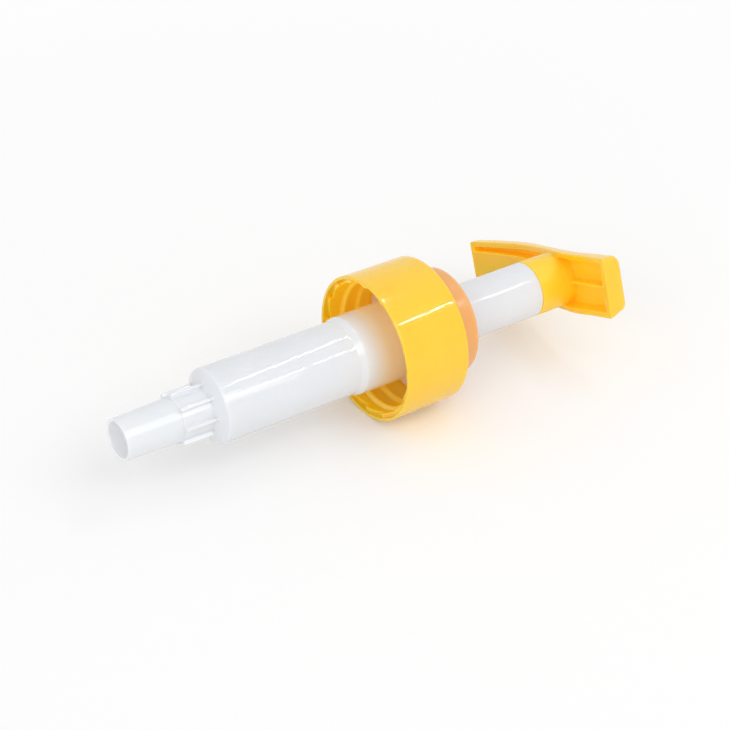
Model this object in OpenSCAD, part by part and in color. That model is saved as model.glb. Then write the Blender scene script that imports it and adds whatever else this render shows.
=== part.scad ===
// Condiment pump dispenser for a 38 mm bottle neck, lying on its side.
// The pump axis is +X, towards the press head, and +Z is up.
// The origin is on the pump axis, in the plane where the gasket seals on the bottle's mouth.
// Every piece is modelled about a local Z axis and laid along X at the end.

/* [Screw cap] */
// Diameter of the inside wall between the thread turns, which fits the bottle
thread_root_d = 38.2; // [32:0.1:48]
// How far the thread stands in from that wall
thread_depth = 1.1; // [0.6:0.1:1.4]
// Thread pitch, five turns to the inch
thread_pitch = 5.08; // [3:0.01:6.35]
// Number of thread turns
thread_turns = 1.8; // [1:0.1:2.8]
// How far inside the rim the thread starts
thread_start = 3.4; // [2.8:0.1:6]
// Where the thread starts around the cap, in degrees
thread_from = -103; // [-180:1:180]
// Room between the thread's end and the gasket
thread_clear = 3; // [2.5:0.1:5]
// Wall at the open rim, with the ratchet ring
cap_wall = 2.15; // [1.8:0.05:3]
// How much narrower the outside is at the closed end
cap_draft = 0.3; // [0:0.1:1.5]
// Thickness of the closed end
cap_top = 2.2; // [1.2:0.1:3]
// Rounding of the closed end's edge
cap_edge_r = 0.9; // [0.6:0.1:1.6]
// Teeth of the ratchet ring inside the rim
ratchet_teeth = 16; // [8:1:24]
// Depth of the ratchet notches
ratchet_depth = 1.3; // [0.5:0.1:2]
// Width of the plain lip outside the ratchet ring
lip_w = 0.95; // [0.6:0.05:1.2]

/* [Housing] */
// Inside diameter of the barrel, which the piston runs in
bore_d = 18.6; // [15:0.1:23]
// Wall of the barrel
barrel_wall = 1.4; // [1:0.1:2]
// How much the wall is thicker at the barrel's top
shoulder_step = 0.6; // [0.2:0.05:1]
// Length of that thicker top, below the gasket
shoulder_l = 21.8; // [10:0.1:30]
// Height of the slope up to it
shoulder_slope = 2; // [0.5:0.1:4]
// Height of the cone at the front of the barrel
front_cone_h = 2.35; // [1:0.05:4]
// Bevel between that cone and the barrel
front_bevel = 0.3; // [0.1:0.1:0.6]
// Thickness of the barrel's floor at its edge
floor_t = 1.5; // [1.2:0.1:2.5]
// Length of the ribbed neck
neck_l = 9; // [7:0.1:14]
// Wall of the ribbed neck
neck_wall = 1.8; // [1.2:0.1:2.4]
// Ribs around the neck
neck_ribs = 8; // [4:1:12]
// How far the ribs stand out of the neck
rib_h = 1.2; // [0.5:0.1:2]
// Thickness of the ribs
rib_t = 1.1; // [0.6:0.1:1.6]
// Angle by which the ribs are turned from the vertical
rib_turn = 5; // [0:1:45]
// Clearance between the flange and the wall of the cap
flange_play = 0.5; // [0.3:0.1:1]
// Thickness of the flange
flange_t = 1.6; // [0.8:0.1:2]
// Thickness of the gasket
gasket_t = 1.5; // [0.8:0.1:2]

/* [Dip tube socket] */
// Inside diameter, which grips the dip tube
socket_bore_d = 10.3; // [8:0.1:13]
// Wall at the open end
socket_wall = 0.74; // [0.5:0.01:1.2]
// How much thicker that wall is at the neck
socket_taper = 0.4; // [0:0.01:0.6]
// Length outside the neck
socket_l = 16.55; // [10:0.05:24]
// Thickness of the wall between the socket and the ball chamber
seat_web = 2; // [1.6:0.1:3]

/* [Valves] */
// Diameter of the inlet ball
inlet_ball_d = 8; // [6:0.1:10]
// Gap around the inlet ball in its chamber
inlet_ball_gap = 0.7; // [0.4:0.1:1.2]
// Lift of the inlet ball
inlet_lift = 2.5; // [1:0.1:3]
// Gap around the outlet ball in the stem
outlet_ball_gap = 1.69; // [1:0.01:2]
// Lift of the outlet ball
outlet_lift = 2; // [1:0.1:3]

/* [Plunger] */
// How far the plunger travels
stroke = 28.3; // [18:0.1:38]
// Wall of the guide bush between the barrel and the stem
bush_wall = 1; // [0.8:0.05:1.4]
// How far the guide bush reaches into the barrel
guide_l = 12; // [8:0.5:14]
// Step of the stem that pushes the piston
stem_step = 1.6; // [1.2:0.1:1.8]
// Wall of the stem inside the piston
stem_wall = 1.4; // [1:0.1:1.8]
// Length of the piston
piston_l = 12.4; // [10:0.1:16]
// Thickness of the piston's lips and of the hollow behind them
lip_t = 1; // [0.6:0.1:1.2]
// Depth of the stem's spigot in the head
spigot_l = 9; // [6:0.5:11]
// Wall of the head's hub around that spigot
hub_wall = 1.3; // [1:0.1:1.6]

/* [Return spring] */
// Diameter of the wire
wire_d = 1.3; // [1:0.1:1.5]
// How far the coils lie inside the stem's outside
coil_inset = 1.5; // [1.2:0.1:1.8]
// Number of coils
coils = 9; // [6:0.5:11]

/* [Collar and wiper] */
// Height of the locking collar
collar_h = 7.7; // [7:0.1:12]
// Walls of the collar
collar_wall = 1.5; // [1.2:0.1:2]
// Space between the collar's sleeve and its outside wall
collar_pocket = 1.3; // [1:0.1:3]
// Rounding of the collar's outside edge
collar_edge_r = 1.2; // [0.8:0.1:2]
// Ribs in that space
collar_ribs = 8; // [4:1:16]
// Thickness of the stem wiper
wiper_t = 1.4; // [1:0.1:1.6]

/* [Press head] */
// Reach of the handle wing
wing_reach = 25; // [20:0.5:32]
// Reach of the spout wing
spout_reach = 33.3; // [27:0.1:42]
// How far the sides stand out from the hub
side_stand = 0.8; // [0.4:0.1:3]
// How far each side leans in, in degrees
side_lean = 6; // [0:0.5:7]
// Thickness of the side walls
wing_wall = 1.65; // [1.2:0.05:2]
// Thickness of the end walls
end_wall = 2; // [1.2:0.1:3]
// Thickness of the wall at the spout's tip
tip_wall = 1.6; // [1.2:0.1:3]
// Thickness of the top over the pockets
skin = 1.9; // [1.4:0.1:2.4]
// Thickness of the rib between the pockets
web_t = 0.9; // [0.6:0.1:1.6]
// How far that rib stays back from the underside
web_inset = 0.8; // [0:0.1:1.6]
// Half width of the spout's duct where it leaves the hub
duct_half_w = 4.4; // [3:0.1:5.5]
// Half width of the duct at the tip
duct_tip_half_w = 6.3; // [5:0.1:6.8]
// Diameter of the spout's outlet
outlet_d = 3.4; // [2.8:0.1:3.8]
// Diameter of the curved passage behind it
passage_d = 2.8; // [2.2:0.1:3.2]
// Turn of the head about the pump axis, with the handle wing raised
head_turn = 18.5; // [0:0.5:40]

/* [Fits] */
// Radial clearance of parts that slide or turn in each other
run_gap = 0.05; // [0.03:0.01:0.08]
// Radial clearance of parts that are pushed together and stay
seat_gap = 0.02; // [0.01:0.01:0.03]
// Clearance between faces that only pass or nearly meet
face_gap = 0.1; // [0.05:0.01:0.2]
// Clearance that a resting ball and the loaded spring keep
rest_gap = 0.02; // [0.01:0.01:0.05]

/* [Hidden] */
$fn = 96;

// Diameters that follow from the bore outwards and inwards
barrel_d = bore_d + 2 * barrel_wall;
shoulder_d = barrel_d + 2 * shoulder_step;
stem_d = bore_d - 2 * (seat_gap + bush_wall + run_gap);
piston_seat_d = stem_d - 2 * stem_step;
stem_bore_d = piston_seat_d - 2 * stem_wall;
outlet_ball_d = stem_bore_d - 2 * outlet_ball_gap;
spigot_d = stem_d - 2 * hub_wall;
coil_d = stem_d - 2 * coil_inset;
retainer_d = coil_d + wire_d + 0.9;
chamber_d = inlet_ball_d + 2 * inlet_ball_gap;
cap_d = thread_root_d + 2 * cap_wall;
lip_r = cap_d / 2 - lip_w;
flange_d = thread_root_d - 2 * flange_play;
socket_d = socket_bore_d + 2 * socket_wall;
socket_root_d = socket_d + 2 * socket_taper;
neck_d = max(chamber_d + 2 * neck_wall, socket_root_d + 0.4);
sleeve_d = shoulder_d + 2 * (seat_gap + collar_wall);
collar_d = sleeve_d + 2 * (collar_pocket + collar_wall);

// A ball rests on a cone of 45 degrees, over a hole two thirds as wide as the ball
function hole_under(ball_d) = ball_d * 0.65;
function ball_height(ball_d) = ball_d / 2 * sqrt(2) - hole_under(ball_d) / 2 + rest_gap;

// Places along the pump axis, measured from the sealing plane: the cap, the collar and what they hold
flange_top_x = gasket_t + flange_t;
cap_rim_x = -(thread_start + thread_turns * thread_pitch + thread_clear);
cap_top_x = flange_top_x + face_gap + cap_top;
ledge_x = cap_rim_x + 0.7;
collar_x = cap_top_x + face_gap;
collar_top_x = collar_x + collar_h;
wiper_top_x = collar_top_x - collar_wall;
bush_flange_t = 1.4;
bush_top_x = wiper_top_x - wiper_t;
housing_top_x = bush_top_x - bush_flange_t;
bush_bottom_x = housing_top_x - guide_l;

// The plunger at the top of its stroke
piston_top_x = bush_bottom_x - face_gap;
piston_bottom_x = piston_top_x - piston_l;
retainer_t = 1.6;
retainer_x = piston_bottom_x - retainer_t;
outlet_seat_x = retainer_x + 2;
outlet_ball_x = outlet_seat_x + ball_height(outlet_ball_d);
stem_stop_x = outlet_ball_x + outlet_ball_d / 2 + outlet_lift + rest_gap;
head_x = collar_top_x + stroke + 0.5;

// The barrel is as long as the stroke and the pressed spring need
cage_t = 1.5;
pressed_spring_l = 1.5 * coils * wire_d;
spring_low_x = retainer_x - stroke - pressed_spring_l;
bore_floor_x = spring_low_x - cage_t;
front_edge_x = bore_floor_x - floor_t + front_bevel;
neck_root_x = front_edge_x - front_cone_h;
neck_step_x = neck_root_x - neck_l;
socket_end_x = neck_step_x - socket_l;
inlet_seat_x = neck_step_x + seat_web / 2;
inlet_ball_x = inlet_seat_x + ball_height(inlet_ball_d);
cage_stop_x = inlet_ball_x + inlet_ball_d / 2 + inlet_lift + rest_gap;

// Side view of the head: heights above the bottom of its hub, from the spout's tip to the handle's end
tip_low = 5.85;
tip_top = 11.7;
tip_r = 2.2;
tip_bulge = 1;
end_top = 16.8;
end_r = 1.8;
hub_h = 14;
chamber_h = 13.3;
function underside_points() = [
    [-spout_reach, tip_low], [-0.78 * spout_reach, 8.65], [-0.44 * spout_reach, 11.3],
    [-4, 11.05], [8, 9.45], [0.67 * wing_reach, 9.85], [wing_reach, 10.1]
];
function top_points() = [
    [wing_reach - end_r, end_top], [0.67 * wing_reach, 15.85], [8, 14.7], [-4, 15.45],
    [-0.44 * spout_reach, 16.45], [-0.78 * spout_reach, 14.1], [-spout_reach + tip_r - tip_bulge, tip_top]
];

// The spout's passage: an arc that rises from the hub's chamber, then a straight outlet to the tip
passage_from = [0, 12.5];
passage_peak = [-0.33 * spout_reach, 13.9];
passage_rise = passage_peak[1] - passage_from[1];
passage_r = (pow(passage_peak[0], 2) + pow(passage_rise, 2)) / 2 / passage_rise;
passage_end_a = asin(0.45 * spout_reach / passage_r);
outlet_from = passage_peak + passage_r * [-sin(passage_end_a), cos(passage_end_a) - 1];
outlet_to = [-spout_reach, tip_low + 2.55];
outlet_dip = atan2(outlet_from[1] - outlet_to[1], outlet_from[0] - outlet_to[0]);

// A smooth curve through points, by Catmull and Rom
function curve_at(p, i, t) =
    let (
        a = p[max(i - 1, 0)],
        b = p[i],
        c = p[min(i + 1, len(p) - 1)],
        d = p[min(i + 2, len(p) - 1)]
    )
    0.5 * (2 * b + (c - a) * t + (2 * a - 5 * b + 4 * c - d) * t * t + (3 * b - a - 3 * c + d) * t * t * t);
function curve_through(p, steps = 6) = [
    for (i = [0 : len(p) - 2], k = [0 : steps - 1]) curve_at(p, i, k / steps), p[len(p) - 1]
];

// An arc of points about a centre
function arc_points(x, y, r, from, to, steps) = [
    for (k = [0 : steps]) let (a = from + (to - from) * k / steps) [x + r * cos(a), y + r * sin(a)]
];

// Faces that close a tube of rings, each of the same number of points
function tube_faces(rings, sides) = concat(
    [[for (k = [0 : sides - 1]) k]],
    [
        for (i = [0 : rings - 2], k = [0 : sides - 1], half = [0, 1])
            let (a = i * sides + k, b = i * sides + (k + 1) % sides)
            half == 0 ? [a, a + sides, b] : [b, a + sides, b + sides]
    ],
    [[for (k = [sides - 1 : -1 : 0]) (rings - 1) * sides + k]]
);

// Lays a piece modelled about the local Z axis along the pump axis
module lay() {
    rotate([0, 90, 0]) children();
}

// Brings the head's own frame, with its handle wing along +X, to its turn about the pump axis
module turn_head() {
    rotate([0, 0, -90 - head_turn]) children();
}

module ring(outer_d, inner_d, from, to) {
    translate([0, 0, from]) difference() {
        cylinder(d = outer_d, h = to - from);
        translate([0, 0, -1]) cylinder(d = inner_d, h = to - from + 2);
    }
}

// ---------------------------------------------------------------- housing group

// Dip tube socket, ribbed neck, barrel and flange in one moulding
module housing() {
    color("whitesmoke") lay() difference() {
        housing_outside();
        housing_passage();
    }
}

module housing_outside() {
    rotate_extrude() polygon([
        [0, socket_end_x],
        [socket_d / 2, socket_end_x],
        [socket_root_d / 2, neck_step_x],
        [neck_d / 2, neck_step_x],
        [neck_d / 2, neck_root_x],
        [barrel_d / 2 - front_bevel - 0.1, front_edge_x - front_bevel],
        [barrel_d / 2, front_edge_x + front_bevel],
        [barrel_d / 2, -shoulder_l - shoulder_slope],
        [shoulder_d / 2, -shoulder_l],
        [shoulder_d / 2, gasket_t],
        [flange_d / 2, gasket_t],
        [flange_d / 2, flange_top_x],
        [shoulder_d / 2, flange_top_x],
        [shoulder_d / 2, housing_top_x],
        [0, housing_top_x]
    ]);
    for (i = [0 : neck_ribs - 1]) rotate([0, 0, rib_turn + 360 / neck_ribs * i])
        translate([neck_d / 2 - 0.6, -rib_t / 2, neck_step_x])
            cube([rib_h + 0.6, rib_t, neck_l + front_cone_h * 0.6]);
}

// Socket, inlet hole, ball seat, ball chamber and bore
module housing_passage() {
    hole_d = hole_under(inlet_ball_d);
    seat_h = (chamber_d - hole_d) / 2;
    translate([0, 0, socket_end_x - seat_web / 2]) cylinder(d = socket_bore_d, h = socket_l);
    translate([0, 0, socket_end_x]) cylinder(d = hole_d, h = bore_floor_x - socket_end_x);
    translate([0, 0, inlet_seat_x]) cylinder(d1 = hole_d, d2 = chamber_d, h = seat_h);
    translate([0, 0, inlet_seat_x + seat_h])
        cylinder(d = chamber_d, h = bore_floor_x - inlet_seat_x - seat_h + 1);
    translate([0, 0, bore_floor_x]) cylinder(d = bore_d, h = housing_top_x - bore_floor_x + 1);
}

// Foam ring that seals on the bottle's mouth
module neck_gasket() {
    color("linen") lay() ring(flange_d, shoulder_d + 2 * seat_gap, 0, gasket_t);
}

module inlet_ball() {
    color("silver") lay() translate([0, 0, inlet_ball_x]) sphere(d = inlet_ball_d);
}

// Insert on the barrel's floor that stops the inlet ball and centres the spring
module ball_cage() {
    outer_d = chamber_d - 2 * face_gap;
    inner_d = outer_d - 2.2;
    bar = 1.2;
    color("whitesmoke") lay() {
        ring(bore_d - 2 * seat_gap, inner_d, bore_floor_x, spring_low_x);
        ring(coil_d - wire_d - 0.5, inner_d, spring_low_x, spring_low_x + 4);
        ring(outer_d, inner_d, cage_stop_x, bore_floor_x);
        for (i = [0, 1]) rotate([0, 0, 90 * i]) translate([-outer_d / 2 + bar / 2, -bar / 2, cage_stop_x])
            cube([outer_d - bar, bar, bar]);
    }
}

// Height of the spring's wire after so many turns: a closed coil at each end, even coils between
function spring_height(turn, low, high) =
    let (
        closed = 1.05 * wire_d,
        rise = (high - low - 2 * closed) / (coils - 2)
    )
    turn < 1 ? low + closed * turn
    : turn > coils - 1 ? high - closed * (coils - turn)
    : low + closed + rise * (turn - 1);

// Compression spring with closed ends, as a tube swept along its helix
module return_spring() {
    sides = 8;
    per_turn = 24;
    steps = floor(per_turn * coils);
    low = spring_low_x + wire_d / 2 + rest_gap;
    high = retainer_x - wire_d / 2 - rest_gap;
    tilt = atan2((high - low) / coils, PI * coil_d);
    rings = [
        for (i = [0 : steps], k = [0 : sides - 1])
            let (
                a = 360 * i / per_turn,
                out = coil_d / 2 + wire_d / 2 * cos(360 * k / sides),
                up = wire_d / 2 * sin(360 * k / sides)
            )
            [
                out * cos(a) + up * sin(tilt) * sin(a),
                out * sin(a) - up * sin(tilt) * cos(a),
                spring_height(i / per_turn, low, high) + up * cos(tilt)
            ]
    ];
    color("gainsboro") lay() polyhedron(rings, tube_faces(steps + 1, sides));
}

// Flanged bush in the mouth of the barrel that guides the stem and stops the piston
module guide_bush() {
    color("ivory") lay() {
        ring(bore_d - 2 * seat_gap, stem_d + 2 * run_gap, bush_bottom_x, housing_top_x);
        ring(shoulder_d, stem_d + 2 * run_gap, housing_top_x, bush_top_x);
    }
}

// Soft ring that wipes the stem
module stem_wiper() {
    color("lightgray") lay() ring(shoulder_d - 0.6, stem_d + 2 * run_gap, bush_top_x, wiper_top_x);
}

// Collar that clips on the housing over the cap and holds the bush and the wiper
module locking_collar() {
    inside_r = shoulder_d / 2 + seat_gap;
    hole_r = stem_d / 2 + run_gap;
    hole_edge = 0.4;
    roof_x = wiper_top_x - 0.4;
    color("sandybrown") lay() {
        rotate_extrude() polygon(concat(
            [[inside_r, collar_x], [sleeve_d / 2, collar_x], [sleeve_d / 2, roof_x]],
            [[collar_d / 2 - collar_wall, roof_x], [collar_d / 2 - collar_wall, collar_x]],
            [[collar_d / 2, collar_x]],
            arc_points(collar_d / 2 - collar_edge_r, collar_top_x - collar_edge_r, collar_edge_r, 0, 90, 8),
            arc_points(hole_r + hole_edge, collar_top_x - hole_edge, hole_edge, 90, 180, 4),
            [[hole_r, wiper_top_x], [inside_r, wiper_top_x]]
        ));
        for (i = [0 : collar_ribs - 1]) rotate([0, 0, 360 / collar_ribs * (i + 0.5)])
            translate([sleeve_d / 2 - 0.5, -0.5, collar_x + 1])
                cube([collar_pocket + 1, 1, roof_x - collar_x - 0.8]);
    }
}

// ---------------------------------------------------------------- screw cap

module screw_cap() {
    color("gold") lay() difference() {
        union() {
            cap_shell();
            cap_thread();
        }
        ratchet_notches();
    }
}

// Outside with its rounded edges, the closed end, and the step inside the rim that holds the ratchet
module cap_shell() {
    back_r = (cap_d - cap_draft) / 2;
    hole_r = shoulder_d / 2 + run_gap;
    rotate_extrude() polygon(concat(
        [[lip_r - 0.3, ledge_x], [lip_r, cap_rim_x + 0.3], [lip_r + 0.3, cap_rim_x]],
        [[cap_d / 2 - 0.35, cap_rim_x], [cap_d / 2, cap_rim_x + 0.4]],
        arc_points(back_r - cap_edge_r, cap_top_x - cap_edge_r, cap_edge_r, 0, 90, 8),
        [[hole_r, cap_top_x], [hole_r, cap_top_x - cap_top]],
        [[thread_root_d / 2, cap_top_x - cap_top], [thread_root_d / 2, ledge_x]]
    ));
}

// Right-hand thread ridge, sunk into the wall, that runs out at both ends
module cap_thread() {
    per_turn = 48;
    steps = floor(thread_turns * per_turn);
    root_r = thread_root_d / 2 + 0.4;
    rings = [
        for (i = [0 : steps])
            let (
                fade = min(1, i / 6, (steps - i) / 6),
                crest_r = root_r - 0.2 - (thread_depth + 0.2) * fade,
                a = thread_from + 360 * i / per_turn,
                x = cap_rim_x + thread_start + thread_pitch * i / per_turn
            )
            for (p = [[root_r, -1.35], [crest_r, -0.5], [crest_r, 0.5], [root_r, 1.35]])
                [p[0] * cos(a), p[0] * sin(a), x + p[1]]
    ];
    polyhedron(rings, tube_faces(steps + 1, 4));
}

// Saw-tooth notches in the step inside the rim, which slope up against the unscrewing direction
module ratchet_notches() {
    inner_r = thread_root_d / 2 - 1;
    outer_r = lip_r - 0.15;
    tooth = 360 / ratchet_teeth;
    slope = tooth * 0.85;
    lean = atan2(ratchet_depth, outer_r * sin(slope));
    for (i = [0 : ratchet_teeth - 1]) rotate([0, 0, tooth * i]) intersection() {
        rotate_extrude(angle = slope) translate([inner_r, cap_rim_x + 0.2])
            square([outer_r - inner_r, ratchet_depth + 1]);
        translate([0, 0, ledge_x + ratchet_depth]) rotate([-lean, 0, 0])
            translate([0, -cap_d / 4, -ratchet_depth - 2]) cube([cap_d, cap_d / 2, ratchet_depth + 2]);
    }
}

// ---------------------------------------------------------------- plunger

// Soft piston with a lip at each end
module piston() {
    lip_r = bore_d / 2 - run_gap;
    inner_r = piston_seat_d / 2 + run_gap;
    color("white") lay() rotate_extrude() polygon([
        [inner_r, piston_bottom_x],
        [lip_r - 0.7, piston_bottom_x],
        [lip_r, piston_bottom_x + 0.6],
        [lip_r, piston_bottom_x + 0.6 + lip_t],
        [lip_r - lip_t, piston_bottom_x + 3],
        [lip_r - lip_t, piston_top_x - 3],
        [lip_r, piston_top_x - 0.6 - lip_t],
        [lip_r, piston_top_x - 0.6],
        [lip_r - 0.7, piston_top_x],
        [inner_r, piston_top_x]
    ]);
}

// Flanged insert in the bottom of the stem: it holds the piston and is the seat of the outlet ball
module piston_retainer() {
    hole_d = hole_under(outlet_ball_d);
    cone_h = (stem_bore_d - hole_d) / 2;
    plug_top_x = outlet_seat_x + cone_h - 0.4;
    color("whitesmoke") lay() difference() {
        union() {
            translate([0, 0, retainer_x]) cylinder(d = retainer_d, h = retainer_t - run_gap);
            translate([0, 0, retainer_x])
                cylinder(d = stem_bore_d - 2 * seat_gap, h = plug_top_x - retainer_x);
        }
        translate([0, 0, retainer_x - 1]) cylinder(d = hole_d, h = piston_l);
        translate([0, 0, outlet_seat_x]) cylinder(d1 = hole_d, d2 = stem_bore_d, h = cone_h);
    }
}

module outlet_ball() {
    color("silver") lay() translate([0, 0, outlet_ball_x]) sphere(d = outlet_ball_d);
}

// Hollow stem from the piston to the head, with three fins inside that stop the outlet ball
module stem() {
    edge = 0.4;
    color("whitesmoke") lay() difference() {
        union() {
            translate([0, 0, piston_bottom_x]) cylinder(d = piston_seat_d, h = piston_l + 1);
            rotate_extrude() polygon([
                [0, piston_top_x + run_gap],
                [stem_d / 2 - edge, piston_top_x + run_gap],
                [stem_d / 2, piston_top_x + run_gap + edge],
                [stem_d / 2, head_x - edge],
                [stem_d / 2 - edge, head_x],
                [0, head_x]
            ]);
            translate([0, 0, head_x]) cylinder(d = spigot_d, h = spigot_l);
        }
        difference() {
            translate([0, 0, piston_bottom_x - 1])
                cylinder(d = stem_bore_d, h = head_x + spigot_l - piston_bottom_x + 2);
            for (i = [0 : 2]) rotate([0, 0, 120 * i]) translate([outlet_ball_d / 4, -0.5, stem_stop_x])
                cube([stem_bore_d, 1, 4]);
        }
    }
}

// Saddle-shaped press head: hub, handle wing with pockets, spout wing with its passage
module pump_head() {
    color("gold") lay() translate([0, 0, head_x]) turn_head() difference() {
        union() {
            difference() {
                saddle();
                handle_pockets();
                spout_slots();
            }
            hub(hub_h);
        }
        hub_socket();
        spout_passage();
    }
}

// The bar: its side view drawn out across the width, with both sides leaning in to the top
module saddle() {
    intersection() {
        across() polygon(concat(
            curve_through(underside_points()),
            arc_points(wing_reach - end_r, end_top - end_r, end_r, 0, 80, 6),
            curve_through(top_points()),
            arc_points(-spout_reach + tip_r - tip_bulge, tip_top - tip_r, tip_r, 100, 180, 6)
        ));
        leaning_side(1);
        leaning_side(-1);
    }
}

// Draws a side view out across the head, to well beyond its sides
module across() {
    rotate([90, 0, 0]) translate([0, 0, -stem_d]) linear_extrude(2 * stem_d) children();
}

// All that lies inside one side of the head
module leaning_side(side) {
    big = 3 * (wing_reach + spout_reach);
    edge_y = side * (stem_d / 2 + side_stand);
    translate([0, edge_y, underside_points()[5][1]]) rotate([side * side_lean, 0, 0])
        translate([-big / 2, side > 0 ? -big : 0, -big / 2]) cube(big);
}

module hub(h) {
    cylinder(d = stem_d, h = h);
}

// Everything lower than the top skin
module under_skin() {
    far = spout_reach + wing_reach;
    across() translate([0, -skin]) polygon(concat(
        curve_through(top_points()),
        [[-far, tip_top], [-far, -end_top], [far, -end_top], [far, end_top]]
    ));
}

// Two pockets in the underside of the handle wing, with a thin rib between them
module handle_pockets() {
    wall_y = stem_d / 2 + side_stand - wing_wall;
    difference() {
        intersection() {
            union() {
                for (side = [0, 1]) mirror([0, side, 0]) translate([0, web_t / 2, 0])
                    cube([wing_reach - end_wall, wall_y - web_t / 2, 2 * end_top]);
                translate([0, -web_t, 0])
                    cube([wing_reach - end_wall, 2 * web_t, underside_points()[5][1] + web_inset]);
            }
            under_skin();
        }
        hub(2 * end_top);
    }
}

// Two narrow slots beside the spout's duct that widen towards the hub
module spout_slots() {
    wall_y = stem_d / 2 + side_stand - wing_wall;
    tip = -spout_reach + tip_wall;
    difference() {
        intersection() {
            for (side = [0, 1]) mirror([0, side, 0]) linear_extrude(2 * end_top) polygon([
                [tip, wall_y], [tip, duct_tip_half_w], [-0.37 * spout_reach, duct_half_w + 0.15],
                [0, duct_half_w], [0, wall_y]
            ]);
            under_skin();
        }
        hub(2 * end_top);
    }
}

// Socket for the stem's spigot and the chamber above it
module hub_socket() {
    translate([0, 0, -1]) cylinder(d = spigot_d + 2 * seat_gap, h = spigot_l + face_gap + 1);
    cylinder(d = stem_bore_d, h = chamber_h);
}

// Passage that bends over from the hub's chamber, and the straight outlet at the tip
module spout_passage() {
    start_a = asin((passage_from[0] - passage_peak[0]) / passage_r);
    translate([passage_peak[0], 0, passage_peak[1] - passage_r]) rotate([90, 0, 0])
        rotate([0, 0, 90 - start_a]) rotate_extrude(angle = start_a + passage_end_a)
            translate([passage_r, 0]) circle(d = passage_d);
    translate([outlet_from[0], 0, outlet_from[1]]) rotate([0, -90 - outlet_dip, 0])
        cylinder(d = outlet_d, h = spout_reach);
}

// ---------------------------------------------------------------- pieces

housing();
neck_gasket();
inlet_ball();
ball_cage();
return_spring();
guide_bush();
stem_wiper();
locking_collar();
screw_cap();
piston();
piston_retainer();
outlet_ball();
stem();
pump_head();
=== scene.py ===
"""Looks of the condiment pump: moulded plastics, foam and steel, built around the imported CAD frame.

Sizes are in millimetres unless a name says otherwise. An angle about the pump axis runs from -Y
towards +Z, so that 0 degrees faces the front and 90 degrees faces up.
"""
import math

import bpy
import numpy as np
from mathutils import Matrix, Vector


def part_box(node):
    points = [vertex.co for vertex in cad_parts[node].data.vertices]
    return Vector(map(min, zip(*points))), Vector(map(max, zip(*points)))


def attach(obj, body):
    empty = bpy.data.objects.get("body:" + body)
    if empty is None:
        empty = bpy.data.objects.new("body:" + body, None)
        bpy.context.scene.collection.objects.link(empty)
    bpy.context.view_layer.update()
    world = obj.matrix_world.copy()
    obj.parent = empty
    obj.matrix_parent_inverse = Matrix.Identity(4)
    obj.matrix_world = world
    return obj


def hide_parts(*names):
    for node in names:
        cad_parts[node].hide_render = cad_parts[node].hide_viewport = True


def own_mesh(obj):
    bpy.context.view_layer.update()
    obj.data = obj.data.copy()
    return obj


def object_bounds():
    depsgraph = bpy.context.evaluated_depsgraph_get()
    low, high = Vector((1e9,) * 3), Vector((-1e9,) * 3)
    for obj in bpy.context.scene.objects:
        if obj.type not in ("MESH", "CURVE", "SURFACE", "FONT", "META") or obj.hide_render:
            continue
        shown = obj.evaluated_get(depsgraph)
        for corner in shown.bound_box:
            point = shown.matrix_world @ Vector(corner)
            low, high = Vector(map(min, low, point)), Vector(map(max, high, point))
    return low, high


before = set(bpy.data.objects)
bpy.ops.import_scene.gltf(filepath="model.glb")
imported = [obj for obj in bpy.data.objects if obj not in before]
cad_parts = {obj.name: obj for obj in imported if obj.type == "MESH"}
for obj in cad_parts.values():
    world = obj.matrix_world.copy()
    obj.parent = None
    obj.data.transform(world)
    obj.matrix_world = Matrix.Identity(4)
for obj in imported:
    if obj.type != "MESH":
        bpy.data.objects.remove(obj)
cad_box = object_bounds()
MM = 0.001


def low(node):
    return np.array(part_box(node)[0]) / MM


def high(node):
    return np.array(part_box(node)[1]) / MM


# ------------------------------------------------------------------ sizes shared with the CAD model

BORE_R, BARREL_R, SHOULDER_R = 9.3, 10.7, 11.3
STEM_R, STEM_BORE_R, SPIGOT_R = 8.23, 5.23, 6.93
SOCKET_R, SOCKET_ROOT_R, SOCKET_BORE_R = 5.89, 6.29, 5.15
NECK_R, RIB_R, RIBS, RIB_T = 6.5, 7.7, 8, 1.1
CHAMBER_R, INLET_R = 4.7, 2.6
GASKET_T, FLANGE_T, SHOULDER_L, SHOULDER_SLOPE = 1.5, 1.6, 21.8, 2.0
RUN_GAP, SEAT_GAP = 0.05, 0.02
CAP_BACK_R, THREAD_ROOT_R, LIP_W = 21.1, 19.1, 0.95
THREAD_DEPTH, THREAD_PITCH, THREAD_TURNS, THREAD_START = 1.1, 5.08, 1.8, 3.4
THREAD_FROM = math.radians(-103)
RATCHET_TEETH, RATCHET_DEPTH = 16, 1.3
CAP_TOP_T, LEDGE_DEPTH = 2.2, 0.7
COLLAR_WALL, COLLAR_ROOF, COLLAR_RIBS = 1.5, 1.9, 8
WING_REACH, SPOUT_REACH = 25.0, 33.3
HEAD_TURN = math.radians(18.5)

SOCKET_END = low("housing")[0]
NECK_STEP = SOCKET_END + 16.55
NECK_ROOT = NECK_STEP + 9.0
FRONT_EDGE = NECK_ROOT + 2.35
BORE_FLOOR = FRONT_EDGE + 1.2
FLANGE_R = high("neck_gasket")[2]
CAP_RIM, CAP_TOP = low("screw_cap")[0], high("screw_cap")[0]
CAP_R = high("screw_cap")[2]
HEAD_X = low("pump_head")[0]
FLOOR_Z = cad_box[0][2]

# ------------------------------------------------------------------ mesh tools


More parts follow.
